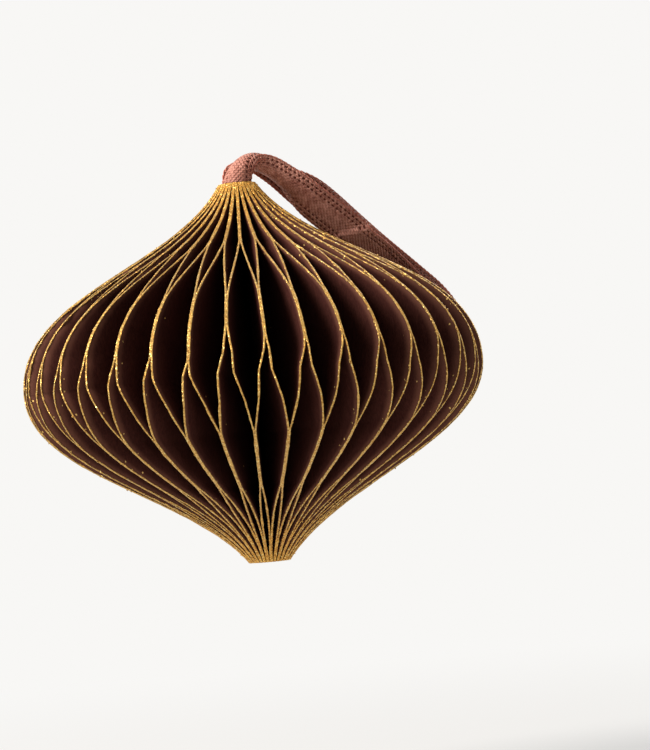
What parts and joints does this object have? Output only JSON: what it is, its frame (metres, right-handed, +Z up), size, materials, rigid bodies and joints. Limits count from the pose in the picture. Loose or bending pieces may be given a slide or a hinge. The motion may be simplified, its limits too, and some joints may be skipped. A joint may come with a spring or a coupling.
{
  "type": "honeycomb paper ornament",
  "caption": "Onion-shaped hanging ornament of dark card sheets glued in alternate stripes into a honeycomb, with gilded edges and a woven ribbon loop.",
  "frame": {"origin": "centre of the foot, on the level that the sheets' lower ends stand on", "axes": "+Z up along the centre line from foot to crown; -Y faces the viewer of the picture; the ribbon falls behind the +X shoulder"},
  "size_m": [0.085, 0.085, 0.0755],
  "materials": {
    "card": "matte",
    "ribbon": "matte",
    "gilding": "satin"
  },
  "bodies": {
    "root": {"sheet_pair_01": "card", "sheet_pair_02": "card", "sheet_pair_03": "card", "sheet_pair_04": "card", "sheet_pair_05": "card", "sheet_pair_06": "card", "sheet_pair_07": "card", "sheet_pair_08": "card", "sheet_pair_09": "card", "sheet_pair_10": "card", "sheet_pair_11": "card", "sheet_pair_12": "card", "sheet_pair_13": "card", "sheet_pair_14": "card", "sheet_pair_15": "card", "sheet_pair_16": "card", "sheet_pair_17": "card", "sheet_pair_18": "card", "sheet_pair_19": "card", "sheet_pair_20": "card", "sheet_pair_21": "card", "sheet_pair_22": "card", "sheet_pair_23": "card", "sheet_pair_24": "card", "sheet_pair_25": "card", "sheet_pair_26": "card", "sheet_pair_27": "card", "sheet_pair_28": "card", "sheet_pair_29": "card", "sheet_pair_30": "card", "sheet_pair_31": "card", "sheet_pair_32": "card", "sheet_pair_33": "card", "sheet_pair_34": "card", "sheet_pair_35": "card", "sheet_pair_36": "card", "hanging_ribbon": "ribbon"}
  },
  "joints": []
}
